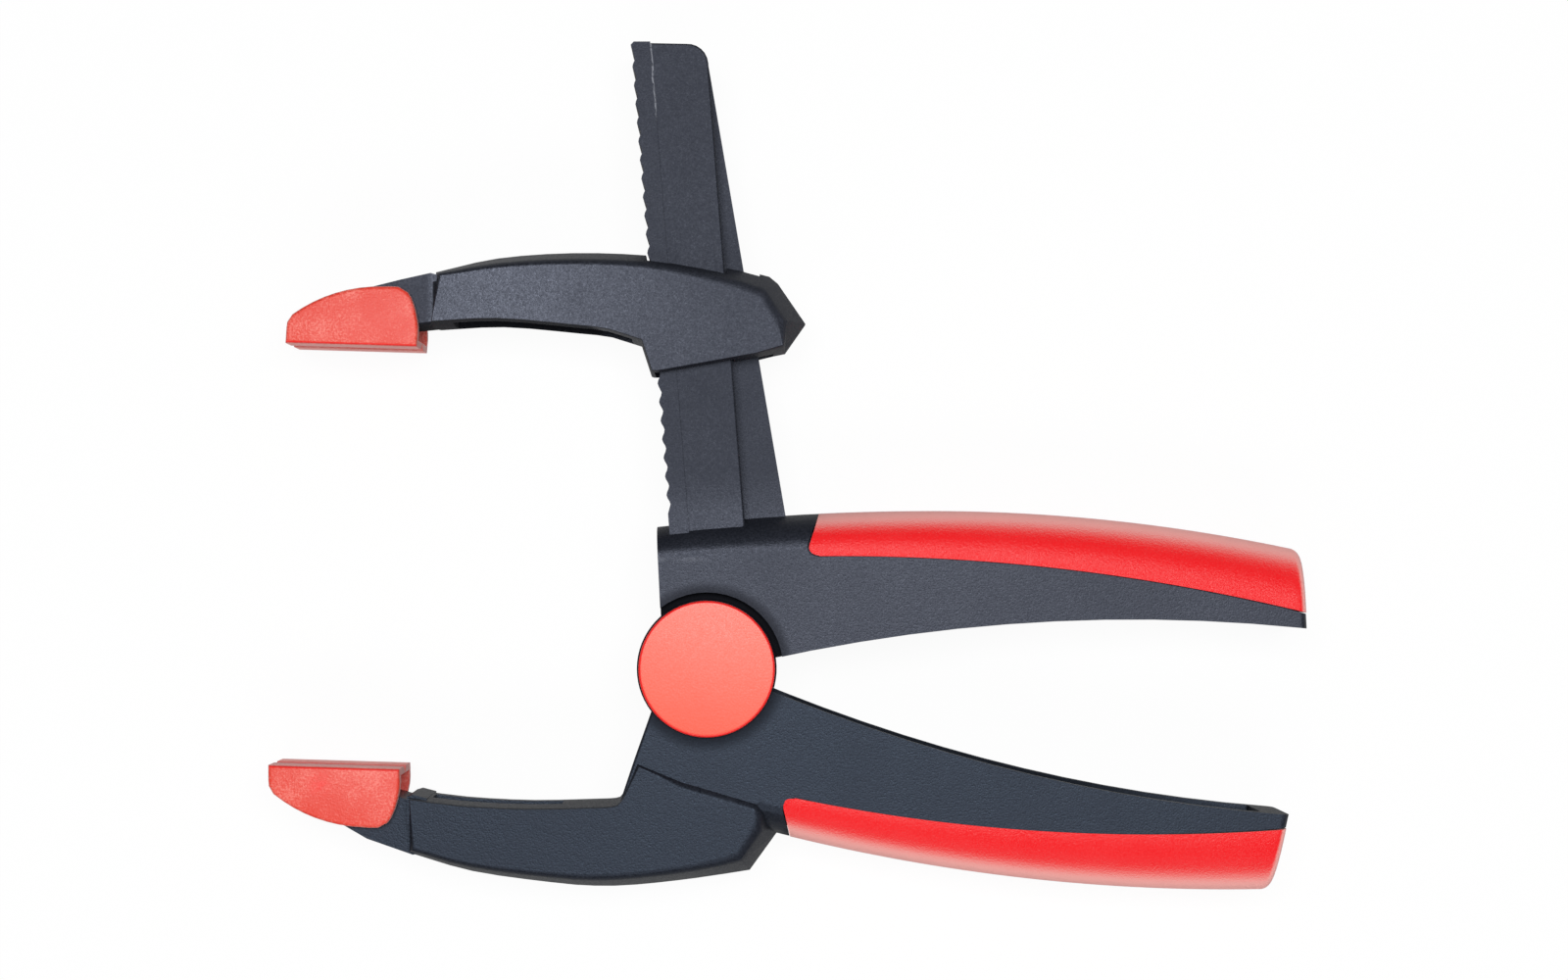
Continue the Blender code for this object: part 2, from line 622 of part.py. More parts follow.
def pad(name):
    """Swivel pad about its pin: two cheeks on a grooved base, with a closed toe."""
    fall = math.degrees(math.asin((PAD_TOE - PAD_TOE_ROUND + PAD_CROWN_X) / PAD_CROWN_RADIUS))
    middle = (PAD_CROWN_X, PAD_CROWN - PAD_CROWN_RADIUS)
    crown = arc(middle, PAD_CROWN_RADIUS, 90, 90 + fall, 8)
    toe_y = crown[-1][1]
    heel = smooth([(PAD_HEEL, -PAD_SEAT), *PAD_HEEL_KNOTS, (PAD_CROWN_X, PAD_CROWN)], PAD_STEP)
    nose = (0.2 * PAD_TOE_ROUND - PAD_TOE, toe_y - 1.3 * PAD_TOE_ROUND)
    toe = smooth([(PAD_TOE_ROUND - PAD_TOE, toe_y), nose, (-PAD_TOE, -PAD_SEAT)], PAD_STEP)
    base = [(-PAD_TOE, -PAD_SEAT), (PAD_HEEL, -PAD_SEAT)]
    outline = joined(heel, crown, toe, base)
    body = rounded_plate(name, edged(outline, PAD_EDGE), PAD_HALF, quarter_round(PAD_EDGE), 0.0)
    inside = PAD_HALF - PAD_CHEEK
    floor = PAD_BASE - PAD_SEAT
    wall = PAD_TOE_WALL - PAD_TOE
    mouth = PAD_HEEL + OVERRUN
    hollow = [(wall, floor), (TONGUE_RADIUS, floor), (mouth, PAD_BASE_END - PAD_SEAT),
              (mouth, 2 * PAD_CROWN), (wall, 2 * PAD_CROWN)]
    cut(body, block("hollow", hollow, -inside, inside))
    socket = PAD_HALF - PIN_WALL
    cut(body, disc("socket", (0, 0), PIN_RADIUS + FIT, -socket, socket, PIN_STEPS))
    ends = []
    for x in (-2 * PAD_TOE, 2 * PAD_TOE):
        ends.append([(x, -PAD_SEAT - 1, -GROOVE_WIDTH / 2 - 1), (x, -PAD_SEAT - 1, GROOVE_WIDTH / 2 + 1),
                     (x, -PAD_SEAT, GROOVE_WIDTH / 2), (x, GROOVE_DEPTH - PAD_SEAT, 0),
                     (x, -PAD_SEAT, -GROOVE_WIDTH / 2)])
    cut(body, loft("groove", ends))
    return body


def pad_pin(name):
    """Cross pin with slightly rounded ends, its middle at the origin."""
    end = PAD_HALF - PIN_WALL - FIT
    neck = PIN_RADIUS - PIN_SOFT
    return turned(name, [(0, -end), (neck, -end), (PIN_RADIUS, PIN_SOFT - end),
                         (PIN_RADIUS, end - PIN_SOFT), (neck, end), (0, end)], PIN_STEPS)


def pivot_tube():
    """Hollow pin through both cheeks and both ears, a little short of their outer faces."""
    low = MID - HALF + SEAM
    high = MID + HALF - SEAM
    neck = TUBE_RADIUS - PIN_SOFT
    return turned("pivot_tube", [(TUBE_BORE, low), (neck, low), (TUBE_RADIUS, low + PIN_SOFT),
                                 (TUBE_RADIUS, high - PIN_SOFT), (neck, high), (TUBE_BORE, high)])


def cap(name):
    """Round cover with a soft rim and a plug for the tube, its outer face at the origin."""
    rim = arc((CAP_RADIUS - CAP_ROUND, CAP_ROUND), CAP_ROUND, -90, 0, 5).tolist()
    plug = TUBE_BORE - FIT
    end = CAP_THICK + CAP_PLUG_LENGTH
    return turned(name, [(0, 0), *rim, (CAP_RADIUS, CAP_THICK), (plug, CAP_THICK),
                         (plug, end - CAP_PLUG_CHAMFER), (plug - CAP_PLUG_CHAMFER, end), (0, end)])


def tangent_angle(point, radius, side):
    """Angle on the coil at which a straight leg to the point leaves it."""
    distance = math.hypot(*point)
    return math.atan2(point[1], point[0]) + side * math.acos(radius / distance)


def torsion_spring():
    """Round wire: a leg under the upper handle's back, the coil, and a leg on the lower one's."""
    radius = TUBE_RADIUS + COIL_CLEARANCE + WIRE / 2
    gap = WALL + 2 * FIT + WIRE / 2
    upper = (SPRING_REACH, upper_back(SPRING_REACH) - gap)
    lower = (SPRING_REACH, lower_back(SPRING_REACH) + gap)
    first = tangent_angle(upper, radius, 1)
    last = tangent_angle(lower, radius, -1) + 2 * math.pi
    room = 2 * (EAR_IN - FIT) - WIRE
    whole = max(0, math.floor(room / COIL_PITCH - (last - first) / (2 * math.pi)))
    last += 2 * math.pi * whole
    turn = np.linspace(first, last, 64)
    share = (turn - first) / (last - first)
    rise = COIL_PITCH * (last - first) / (2 * math.pi)
    coil = np.column_stack([radius * np.cos(turn), radius * np.sin(turn), MID + rise * (0.5 - share)])
    points = np.vstack([[(*upper, MID + rise / 2)], coil, [(*lower, MID - rise / 2)]]) * MM
    curve = bpy.data.curves.new("torsion_spring", "CURVE")
    curve.dimensions = "3D"
    curve.bevel_depth = WIRE / 2 * MM
    curve.bevel_resolution = 2
    curve.use_fill_caps = True
    spline = curve.splines.new("POLY")
    spline.points.add(len(points) - 1)
    spline.points.foreach_set("co", np.column_stack([points, np.ones(len(points))]).ravel())
    body = bpy.data.objects.new("torsion_spring", curve)
    bpy.context.scene.collection.objects.link(body)
    return body


# Materials and assembly

def material(name, colour, roughness, metallic=0.0):
    finish = bpy.data.materials.new(name)
    finish.use_nodes = True
    shader = finish.node_tree.nodes["Principled BSDF"]
    shader.inputs["Base Color"].default_value = (*colour, 1)
    shader.inputs["Roughness"].default_value = roughness
    shader.inputs["Metallic"].default_value = metallic
    finish.diffuse_color = (*colour, 1)
    return finish


def finish_object(body, finish):
    """Gives a body its material, and smooth shading where it is round."""
    body.data.materials.clear()
    body.data.materials.append(finish)
    if body.type == "MESH":
        body.data.shade_smooth()
        body.data.set_sharp_from_angle(angle=math.radians(30))


def empty(name, location, turn):
    """Joint frame at a place on the joint's axis."""
    frame = bpy.data.objects.new(name, None)
    frame.location = [value * MM for value in location]
    frame.rotation_euler = (0, 0, turn)
    bpy.context.scene.collection.objects.link(frame)
    return frame


def clear_scene():
    for thing in list(bpy.data.objects):
        bpy.data.objects.remove(thing)


def build():
    clear_scene()
    plastic = {name: material(name + " plastic", (0.075, 0.085, 0.105), 0.5)
               for name in ("lower body", "upper body", "sliding jaw")}
    red = {name: material(name + " red", (0.80, 0.055, 0.045), 0.6)
           for name in ("lower grip", "upper grip", "lower pad", "upper pad", "front cap", "rear cap")}
    steel = {name: material(name + " steel", (0.55, 0.56, 0.58), 0.35, 1.0)
             for name in ("spring", "pivot tube", "upper pin", "lower pin")}

    finish_object(lower_body(), plastic["lower body"])
    finish_object(upper_body(), plastic["upper body"])
    finish_object(grip("lower_grip", LOWER_LINES, LOWER_NOSE, LOWER_GRIP_EDGE, LOWER_GRIP_BOW,
                       LOWER_START), red["lower grip"])
    finish_object(grip("upper_grip", UPPER_LINES, UPPER_NOSE, UPPER_GRIP_EDGE, -UPPER_GRIP_BOW,
                       UPPER_START), red["upper grip"])
    finish_object(pivot_tube(), steel["pivot tube"])
    finish_object(torsion_spring(), steel["spring"])

    rear = cap("rear_cap")
    finish_object(rear, red["rear cap"])
    front = cap("front_cap")
    front.location = (0, 0, 2 * MID * MM)
    front.rotation_euler = (math.pi, 0, 0)
    finish_object(front, red["front cap"])

    rail = empty("rail_axis", (0, 0, MID), RAIL_TILT)
    jaw = sliding_jaw()
    jaw.parent = rail
    jaw.location = (0, JAW_PLACE * MM, 0)
    finish_object(jaw, plastic["sliding jaw"])

    upper_swivel = empty("upper_pad_axis", (UPPER_PIVOT[0], UPPER_PIVOT[1] + JAW_PLACE, 0), 0)
    upper_swivel.parent = rail
    upper_pad = pad("upper_pad")
    upper_pad.parent = upper_swivel
    upper_pad.rotation_euler = (0, 0, PAD_TILT - RAIL_TILT)
    finish_object(upper_pad, red["upper pad"])
    upper_pin = pad_pin("upper_pad_pin")
    upper_pin.parent = upper_swivel
    finish_object(upper_pin, steel["upper pin"])

    lower_swivel = empty("lower_pad_axis", (*LOWER_PIVOT, MID), 0)
    lower_pad = pad("lower_pad")
    lower_pad.parent = lower_swivel
    lower_pad.rotation_euler = (math.pi, 0, PAD_TILT)
    finish_object(lower_pad, red["lower pad"])
    lower_pin = pad_pin("lower_pad_pin")
    lower_pin.parent = lower_swivel
    finish_object(lower_pin, steel["lower pin"])


build()
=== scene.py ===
"""Spring clamp with a sliding jaw: finished surfaces, studio and camera.

Sizes are millimetres in the clamp's own frame, and each mesh is scaled to metres when it is made.
The clamp lies on its rear cap, with its middle plane at the height MIDDLE.
"""

import bmesh
import bpy
import numpy as np
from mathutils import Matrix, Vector


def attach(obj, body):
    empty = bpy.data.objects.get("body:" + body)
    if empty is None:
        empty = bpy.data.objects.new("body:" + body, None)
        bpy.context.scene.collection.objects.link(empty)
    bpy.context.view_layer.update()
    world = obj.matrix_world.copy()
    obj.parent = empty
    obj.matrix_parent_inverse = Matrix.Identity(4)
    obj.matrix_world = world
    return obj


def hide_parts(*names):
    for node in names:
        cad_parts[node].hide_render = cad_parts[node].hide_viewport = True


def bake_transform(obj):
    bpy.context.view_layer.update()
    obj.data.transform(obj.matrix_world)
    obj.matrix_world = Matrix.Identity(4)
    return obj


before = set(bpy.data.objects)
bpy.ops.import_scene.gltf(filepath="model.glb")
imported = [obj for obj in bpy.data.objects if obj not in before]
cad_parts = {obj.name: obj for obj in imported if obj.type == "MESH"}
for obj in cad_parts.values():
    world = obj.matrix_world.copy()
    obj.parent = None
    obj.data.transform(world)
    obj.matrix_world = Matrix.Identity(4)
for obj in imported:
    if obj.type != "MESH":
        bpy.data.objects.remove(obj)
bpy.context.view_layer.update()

# A millimetre in metres; then, in millimetres, the middle plane's height and half the bodies' depth
MM = 0.001
MIDDLE = 12.3
HALF = 10.5

# Handles and grips: back, foot, lean, ends and the grip's seam and nose, as in the solids
CROWN_FLAT = 2.0
CROWN_POWER = 2.4
PROUD = 0.03
END_CORNER = 1.4
END_ROUND = 2.2
GRIP_THICK = 1.4
SEAM_COVER = 0.13
UPPER = {
    "up": 1, "first": -8.45, "end": 100.0, "lean": (1.3, 0.6),
    "back": ((38.0, 26.5), (-400.0, -290.0)), "foot": ((70.5, 8.25), (-282.0, -282.0)),
    "seam": ((22.0, 19.0), (-320.0, -320.0)),
    "nose": ((19.6, 27.5), (17.1, 20.9), (16.5, 19.2), (18.7, 18.9)),
}
LOWER = {
    "up": -1, "first": 6.0, "end": 94.9, "lean": (0.0, 2.7),
    "back": ((88.0, -37.55), (305.0, 305.0)), "foot": ((113.0, -25.1), (245.0, 245.0)),
    "seam": ((73.0, -27.8), (280.0, 280.0)),
    "nose": ((14.5, -30.0), (12.9, -23.8), (12.7, -21.6), (15.2, -21.8)),
}
NOSE_STEPS = 24
CROWN_STEPS = 45
CROWN_CROWDING = 1.5
FLAT_STEPS = 4

# Pivot caps
CAP_RADIUS = 11.4
CAP_THICK = 1.5
CAP_DOME = 0.25
CAP_EDGE = 0.42
PLUG_RADIUS = 2.3
PLUG_REACH = 5.5
FACE_RINGS = 40
EDGE_STEPS = 8
CAP_SIDES = 180

# Torsion spring
WIRE = 2.6
WIRE_SIDES = 20
COIL_PITCH = 2.75
COIL_RADIUS = 5.8
COIL_ROOM = 7.0
COIL_STEPS = 220
LEG_GAP = 4.7
LEG_REACH = 40.0
LEG_STEPS = 40
# Rings that close the wire: how wide each is and how far beyond the end, both over the wire's radius
WIRE_TIP = ((0.0, 0.16), (0.6, 0.16), (0.9, 0.08))

# Edges: a bevel's width in millimetres, and from how many degrees on an edge is sharp
BEVEL = 0.12
SHARP = 32
GRIP_SHARP = 50
WIRE_SHARP = 60

# Joining: the distance in metres under which corners are one, the decimal places of a metre by which
# loose triangles share a corner, and the angle in radians under which neighbouring faces are one
WELD = 1e-6
PLACES_KEPT = 7
FLAT_WITHIN = 0.002

# Marks and painted shade, in millimetres: where each lies, and the two places between which it gets its
# full strength
PARTING_LINE = (0.05, 0.16)
STRIP_EDGE = 0.90
STRIP_WAVER = 0.5
STRIP_WIDTH = (0.05, 0.22)
STRIP_END = (91.0, 94.0)
STRIP_FACE = (7.0, 7.4)
# Painted shade in the groove round the pivot and the corner beside it, in the lower handle's channel,
# round the cap, and as deeper red at the cap's edge
RECESS_FLOOR = (9.6, 10.3)
RECESS_EDGE = (12.9, 13.1)
CORNER_SHADE = (12.9, 15.0)
CHANNEL_START = (12.0, 15.0)
CHANNEL_FADE = (95.0, 55.0)
CHANNEL_WALL = (7.6, 8.0)
CAP_SHADE_REACH = (11.4, 14.5)
CAP_RIM = (10.85, 11.15)
# Painted shade as deeper red along the pads' front edges, then where a darker red patch lies
PAD_EDGE_PLACE = 0.24
PAD_EDGE_WIDTH = (0.08, 0.20)
DARK_PATCH_PLACE = (-64.9, -19.3, 23.0)
DARK_PATCH_REACH = (0.6, 3.4)
SHOULDER = 18.3
SHOULDER_WIDTH = (0.0, 0.9)
SHOULDER_REACH = (10.0, -6.0)
RAIL_RUB = (24.0, 34.0)
# Painted shade on the sliding jaw's lower rim and in its pocket
JAW_RIM = (58.7, 58.9)
JAW_SIDE = (10.9, 11.1)
POCKET_ROOF = (70.8, 71.1)
POCKET_WALL = (7.6, 7.8)
POCKET_END = (-46.2, -45.8)
BEFORE_SLOT = (-17.0, -19.0)
JAW_RUB = (-40.0, 10.0)
TONGUE = (-46.2, -47.2)

# Slopes of the rail, the pads' gripping faces and the pocket's roof, and the bow of the jaw's rim,
# whose middle lies RIM_CENTRE millimetres to the left of the pivot
RAIL_LEAN = 0.0793
PAD_LEAN = 0.0297
ROOF_LEAN = 0.13
RIM_CENTRE = 36.5
RIM_BOW = 5.7

# Colours as the red, green and blue of a linear light value
CHARCOAL = (0.0090, 0.0105, 0.0150)
CHARCOAL_PALE = (0.019, 0.021, 0.029)
# Painted shade: near-black laid into the dark plastics' colour in hollows, under the jaw and round the
# pivot
PAINTED_SHADE_DARK = (0.003, 0.003, 0.004)
SCUFF = (0.30, 0.31, 0.34)
RED = (0.81, 0.010, 0.014)
RED_PALE = (0.82, 0.020, 0.023)
CORAL = (0.72, 0.040, 0.022)
CORAL_PALE = (0.76, 0.080, 0.050)
CAP_RED = (0.81, 0.070, 0.026)
CAP_PALE = (0.83, 0.088, 0.038)
STEEL = (0.56, 0.57, 0.59)
STEEL_DULL = (0.42, 0.42, 0.43)
CHARCOAL_TINT = (0.74, 0.80, 1.0, 1.0)
SLATE_TINT = (0.58, 0.74, 1.0, 1.0)
# Painted sheen: pale colour mixed over the reds at a glancing view
PAINTED_SHEEN_PALE = (0.98, 0.46, 0.42)
# Painted shade: deeper red along the caps' and pads' edges, also used for a darker patch on the pads
EDGE_SHADE_RED = (0.86, 0.020, 0.016)
THREAD_PALE = (0.86, 0.20, 0.16)
SHEET_GREY = (0.86, 0.86, 0.86)
MIRRORED_GREY = (0.4, 0.4, 0.4)
WHITE = (1, 1, 1)
BLACK = (0, 0, 0)

PLASTIC_ROUGH = 0.42

# Studio in metres and watts: each lamp's name, place, aim, width, height and power
SHEET_HALF = 4.0
SHEET_WHITE = 0.94
AMBIENT = 0.05
LAMPS = (
    ("overhead", (0.02, 0.17, 1.20), (0.0, 0.03, 0.0), 0.75, 0.34, 13.6),
    ("near side", (0.0, -0.60, 0.70), (0.0, 0.02, 0.0), 0.75, 0.25, 2.6),
)
CAMERA_PLACE = (0.006365, 0.01844, 0.6123)
CAMERA_SHIFT = (0.025, 0.04375)
FILM_WIDTH = 36.0
FOCAL_LENGTH = 81.0


# Shader values

class Value:
    """A socket whose arithmetic adds Math nodes."""

    def __init__(self, finish, socket):
        self.finish = finish
        self.socket = socket

    def math(self, operation, *others):
        return self.finish.add("ShaderNodeMath", {"operation": operation}, [self, *others])

    def __add__(self, other):
        return self.math("ADD", other)

    def __sub__(self, other):
        return self.math("SUBTRACT", other)

    def __mul__(self, other):
        return self.math("MULTIPLY", other)

    def __rsub__(self, other):
        return self.finish.add("ShaderNodeMath", {"operation": "SUBTRACT"}, [other, self])

    __radd__ = __add__
    __rmul__ = __mul__

    def size(self):
        return self.math("ABSOLUTE")

    def ease(self, low, high):
        """0 below low, 1 above high and smooth between, or the reverse where high is the lower."""
        return self.finish.add("ShaderNodeMapRange", {"interpolation_type": "SMOOTHSTEP"},
                               [self, low, high, 0.0, 1.0])

    def past(self, low, high):
        """The same, between two places in millimetres."""
        return self.ease(low * MM, high * MM)


class Finish:
    """One material: its shader, and the one way to add a node to it."""

    def __init__(self, name):
        self.material = bpy.data.materials.new(name)
        self.material.use_nodes = True
        self.nodes = self.material.node_tree.nodes
        self.links = self.material.node_tree.links
        self.shader = self.nodes["Principled BSDF"]
        self.place = self.add("ShaderNodeTexCoord", {}, [], "Object")

    def plug(self, value, socket):
        """Links a value to a socket, or sets a constant on it."""
        if isinstance(value, Value):
            self.links.new(value.socket, socket)
        else:
            socket.default_value = value

    def add(self, kind, settings, inputs, output=0):
        """Adds a node and gives one of its outputs."""
        node = self.nodes.new(kind)
        for key, value in settings.items():
            setattr(node, key, value)
        pairs = inputs.items() if isinstance(inputs, dict) else enumerate(inputs)
        for slot, value in pairs:
            self.plug(value, node.inputs[slot])
        return Value(self, node.outputs[output])

    def noise(self, scale, detail=2.0, stretch=(1, 1, 1), turn=0.0, roughness=0.5):
        """Cloudy pattern from 0 to 1, with about scale clouds in a metre."""
        place = self.place
        if stretch != (1, 1, 1) or turn:
            place = self.add("ShaderNodeMapping", {},
                             {"Vector": place, "Rotation": (0, 0, turn), "Scale": stretch})
        return self.add("ShaderNodeTexNoise", {},
                        {"Vector": place, "Scale": scale, "Detail": detail, "Roughness": roughness})

    def along(self, axis):
        """Distance in metres along one of the part's axes."""
        node = self.add("ShaderNodeSeparateXYZ", {}, [self.place])
        return Value(self, node.socket.node.outputs[axis])

    def blend(self, share, first, second):
        """Colour from first to second as share goes from 0 to 1."""
        return self.add("ShaderNodeMix", {"data_type": "RGBA"},
                        {0: share, 6: first, 7: second}, 2)

    def relief(self, height, depth, before=None):
        """Normal of a surface raised by height times depth, in millimetres."""
        inputs = {"Height": height, "Distance": depth * MM, "Strength": 1.0}
        if before:
            inputs["Normal"] = before
        return self.add("ShaderNodeBump", {}, inputs)

    def surface(self, **sockets):
        """Sets the shader's own sockets."""
        for name, value in sockets.items():
            self.plug(value, self.shader.inputs[name.replace("_", " ")])
        return self.material

    def cover(self, share, **sockets):
        """Second shader over the first one, as strong as share."""
        inputs = {name.replace("_", " "): value for name, value in sockets.items()}
        above = self.add("ShaderNodeBsdfPrincipled", {}, inputs)
        below = Value(self, self.shader.outputs[0])
        both = self.add("ShaderNodeMixShader", {}, [share, below, above])
        self.plug(both, self.nodes["Material Output"].inputs["Surface"])


def solid(colour):
    """The colour with full opacity."""
    return (*colour, 1.0)


# Finishes

def worn(finish, scuffs):
    """Rubbed patches and fine scratched lines."""
    patches = finish.noise(160, 5, (1, 3, 1), 0.7, 0.7).ease(0.62, 0.80)
    patches = patches * finish.noise(800, 2).ease(0.45, 0.7)
    lines = finish.noise(420, 2, (1, 14, 1), 0.25, 0.6).ease(0.70, 0.76)
    lines = lines * finish.noise(60).ease(0.5, 0.65)
    return patches * (0.06 + scuffs * 0.3) + lines * (0.10 + scuffs)


def moulded_plastic(name, gloss, tint, speckle, scuffs=0.0, marks=None, painted_shade=None, dull=None):
    """Glass-filled plastic: spark-eroded grain, faint flow clouds, light scuffs, and painted shade
    where a mask is given.

    The numbers taken off the grain's sums are their means, so that speckle keeps the tone.
    """
    finish = Finish(name)
    grain = finish.noise(3200, 2, roughness=0.6)
    pores = finish.noise(1500, 2)
    clouds = finish.noise(70, 3)
    flow = finish.noise(45, 4, (1, 6, 1), 0.3)
    tone = clouds * 0.4 + flow * 0.3 + (pores * 0.8 + grain * 2.4 - 1.6) * speckle + 0.15
    colour = finish.blend(tone.ease(0.0, 1.0), solid(CHARCOAL), solid(CHARCOAL_PALE))
    wear = worn(finish, scuffs)
    if marks:
        wear = wear + marks(finish)
    rough = (PLASTIC_ROUGH + (grain + pores * 0.4 - 0.7) * speckle * 0.5
             + (clouds - 0.5) * 0.12 - wear * 0.1)
    # Painted shade: near-black mixed into the colour as strong as the mask, and the surface duller
    # there
    if painted_shade:
        shade = painted_shade(finish)
        colour = finish.blend(shade, colour, solid(PAINTED_SHADE_DARK))
        rough = rough + shade * 0.4
    if dull:
        rough = rough + dull(finish)
    colour = finish.blend(wear.ease(0.0, 1.0), colour, solid(SCUFF))
    normal = finish.relief(grain, 0.07 * speckle)
    normal = finish.relief(pores, 0.03 * speckle, normal)
    normal = finish.relief(1 - off_middle(finish).past(*PARTING_LINE), 0.06, normal)
    return finish.surface(Base_Color=colour, Normal=normal, Roughness=rough,
                          Specular_IOR_Level=gloss, Specular_Tint=tint)


def soft_red(name, colour, pale, grain_size, depth, gloss, roughness,
             sheen=0.1, weave=0.0, painted_sheen=None, rim=None):
    """Soft moulding: fine grain, slight fading in clouds, painted shade as deeper red where an edge
    mask is given, and a painted sheen of pale colour at a glancing view.
    """
    finish = Finish(name)
    grain = finish.noise(grain_size, 3, roughness=0.65)
    clouds = finish.noise(110, 4)
    fade = (clouds * 0.7 + grain * 0.6 - 0.3).ease(0.0, 0.8)
    mixed = finish.blend(fade, solid(colour), solid(pale))
    normal = finish.relief(grain, depth)
    if weave:
        threads = (finish.noise(3000, 2, (0.5, 1.4, 1), 0.1)
                   + finish.noise(3000, 2, (1.4, 0.5, 1), 0.1))
        normal = finish.relief(threads, weave, normal)
        mottle = threads + grain * 2 + clouds * 2 - 2.8
        mixed = finish.blend(mottle.ease(0.0, 0.7) * 0.8, mixed, solid(THREAD_PALE))
    # Painted shade: deeper red as strong as the edge mask
    if rim:
        mixed = finish.blend(rim(finish), mixed, solid(EDGE_SHADE_RED))
    finish.surface(Base_Color=mixed, Normal=normal, Roughness=roughness + (grain - 0.5) * 0.3,
                   Specular_IOR_Level=gloss, Sheen_Weight=sheen, Sheen_Roughness=0.35)
    # Painted sheen: a pale matte colour laid over the red, stronger as the view glances
    if painted_sheen:
        glance = finish.add("ShaderNodeLayerWeight", {}, {"Blend": 0.5, "Normal": normal}, "Facing")
        finish.cover(glance.ease(*painted_sheen) * 0.9,
                     Base_Color=solid(PAINTED_SHEEN_PALE), Normal=normal, Roughness=0.6)
    return finish.material


def drawn_steel(name):
    """Bright wire with fine lines round it and a few dull spots."""
    finish = Finish(name)
    lines = finish.noise(1500, 2, (1, 1, 8))
    spots = finish.noise(300, 4)
    colour = finish.blend(spots.ease(0.4, 0.8), solid(STEEL), solid(STEEL_DULL))
    return finish.surface(Base_Color=colour, Roughness=0.24 + lines * 0.18 + spots * 0.08,
                          Metallic=1.0, Normal=finish.relief(lines, 0.006))


# Marks and painted shade

def from_pivot(finish):
    """Distance from the pivot's axis."""
    flat = finish.add("ShaderNodeVectorMath", {"operation": "MULTIPLY"}, [finish.place, (1, 1, 0)])
    return finish.add("ShaderNodeVectorMath", {"operation": "LENGTH"}, [flat], "Value")


def off_middle(finish):
    """Distance from the middle plane."""
    return (finish.along(2) - MIDDLE * MM).size()


def rail_scratches(finish):
    """Rubbed marks on the toothed strip's inner edge near the rail's end."""
    waver = finish.noise(350, 2) * (STRIP_WAVER * MM)
    lean = finish.along(0) + finish.along(1) * RAIL_LEAN + waver
    near = 1 - (lean + STRIP_EDGE * MM).size().past(*STRIP_WIDTH)
    high = finish.along(1).past(*STRIP_END) * finish.noise(1100, 3).ease(0.30, 0.55)
    return near * high * off_middle(finish).past(*STRIP_FACE) * 0.6


def pivot_recess_shade(finish):
    """Painted shade on the floor of the groove round the pivot, and in the corner beside it."""
    radius = from_pivot(finish)
    sunk = 1 - off_middle(finish).past(*RECESS_FLOOR)
    return (1 - radius.past(*RECESS_EDGE)) * sunk + (1 - radius.past(*CORNER_SHADE)) * 0.5


def channel_shade(finish):
    """Painted shade inside the lower handle's channel near the pivot, and round the cap."""
    along = finish.along(0)
    inside = along.past(*CHANNEL_START) * along.past(*CHANNEL_FADE)
    cap_shade = 1 - from_pivot(finish).past(*CAP_SHADE_REACH)
    return inside * (1 - off_middle(finish).past(*CHANNEL_WALL)) + cap_shade * 0.7


def cap_edge_shade(finish):
    """Painted shade: deeper red round the cap's edge."""
    return from_pivot(finish).past(*CAP_RIM)


def pad_edge_shade(x, y, side):
    """Painted shade as deeper red along the front edge of a pad's gripping face, which passes through a
    point; and a darker red patch round a second point.
    """
    def mark(finish):
        depth = ((finish.along(1) - y * MM) + (finish.along(0) - x * MM) * PAD_LEAN) * side
        edge = 1 - (depth + PAD_EDGE_PLACE * MM).size().past(*PAD_EDGE_WIDTH)
        spot = finish.add("ShaderNodeVectorMath", {"operation": "DISTANCE"},
                          [finish.place, tuple(place * MM for place in DARK_PATCH_PLACE)], "Value")
        patch = (1 - spot.past(*DARK_PATCH_REACH)) * finish.noise(900, 3).ease(0.2, 0.6) * 0.55
        return (edge * 0.8 + patch).ease(0.0, 1.0)
    return mark


def crown_rub(finish):
    """Light rubbing where the upper handle's face turns into its back, beside the rail."""
    near = 1 - (finish.along(1) - SHOULDER * MM).size().past(*SHOULDER_WIDTH)
    reach = finish.along(0).past(*SHOULDER_REACH) * finish.noise(500, 3).ease(0.2, 0.8)
    return near * reach * 0.3 + rail_scratches(finish)


def rail_dullness(finish):
    """The rail is rubbed dull by the jaw."""
    return finish.along(1).past(*RAIL_RUB) * 0.12


def underside_shade(finish):
    """Painted shade on the jaw's bowed lower rim, and in the pocket above it."""
    along, up, aside = finish.along(0), finish.along(1), off_middle(finish)
    bend = along + RIM_CENTRE * MM
    rim = (1 - (up + bend * bend * RIM_BOW).past(*JAW_RIM)) * (1 - aside.past(*JAW_SIDE))
    roof = 1 - (up - along * ROOF_LEAN).past(*POCKET_ROOF)
    pocket = roof * (1 - aside.past(*POCKET_WALL)) * along.past(*POCKET_END)
    return (rim + pocket).ease(0.0, 1.0) * along.past(*BEFORE_SLOT)


def jaw_dullness(finish):
    """The sliding jaw is duller towards its beak, and on the tongue that holds the pad."""
    along = finish.along(0)
    return along.past(*JAW_RUB) * 0.14 + along.past(*TONGUE) * 0.16


# Surfaces

def cleaned(mesh, job):
    """Does one job on the mesh as an editable form."""
    form = bmesh.new()
    form.from_mesh(mesh)
    job(form)
    form.to_mesh(mesh)
    form.free()
    return mesh


